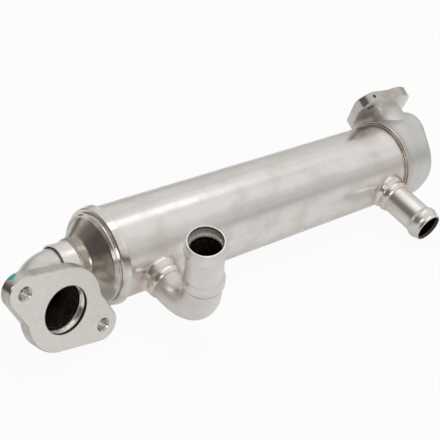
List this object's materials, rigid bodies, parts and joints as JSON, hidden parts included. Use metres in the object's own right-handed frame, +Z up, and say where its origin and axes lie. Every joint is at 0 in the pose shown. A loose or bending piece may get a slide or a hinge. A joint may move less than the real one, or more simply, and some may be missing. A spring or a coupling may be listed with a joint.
{
  "type": "exhaust gas recirculation cooler",
  "caption": "Round stainless shell-and-tube cooler for exhaust gas, with a two-bolt gas flange at each end and coolant hose spigots, one bent and one straight.",
  "frame": {"origin": "middle of the gas inlet flange's outer face", "axes": "+X along the shell from the gas inlet to the gas outlet, +Z up, -Y the side the inlet flange and the coolant spigots face"},
  "size_m": [0.4047, 0.1505, 0.0892],
  "materials": {
    "flange_steel": "flat ground stainless steel",
    "shell_steel": "satin brushed stainless steel",
    "cone_steel": "smooth pressed stainless steel",
    "cap_steel": "satin pressed stainless steel",
    "core_steel": "plain stainless steel",
    "band_steel": "bright formed stainless steel",
    "pipe_steel": "bright drawn stainless steel"
  },
  "bodies": {
    "root": {"baffle_1": "core_steel", "baffle_2": "core_steel", "coolant_inlet_collar": "pipe_steel", "coolant_inlet_elbow": "pipe_steel", "coolant_inlet_spigot": "pipe_steel", "coolant_outlet_collar": "pipe_steel", "coolant_outlet_pipe": "pipe_steel", "gas_tube_01": "core_steel", "gas_tube_02": "core_steel", "gas_tube_03": "core_steel", "gas_tube_04": "core_steel", "gas_tube_05": "core_steel", "gas_tube_06": "core_steel", "gas_tube_07": "core_steel", "gas_tube_08": "core_steel", "gas_tube_09": "core_steel", "gas_tube_10": "core_steel", "gas_tube_11": "core_steel", "gas_tube_12": "core_steel", "gas_tube_13": "core_steel", "gas_tube_14": "core_steel", "gas_tube_15": "core_steel", "gas_tube_16": "core_steel", "gas_tube_17": "core_steel", "gas_tube_18": "core_steel", "gas_tube_19": "core_steel", "inlet_band": "band_steel", "inlet_cone": "cone_steel", "inlet_elbow": "pipe_steel", "inlet_flange": "flange_steel", "inlet_sleeve": "pipe_steel", "inlet_tube_plate": "band_steel", "outlet_cap": "cap_steel", "outlet_flange": "flange_steel", "outlet_neck": "cap_steel", "outlet_tube_plate": "core_steel", "shell_tube": "shell_steel"}
  },
  "joints": []
}
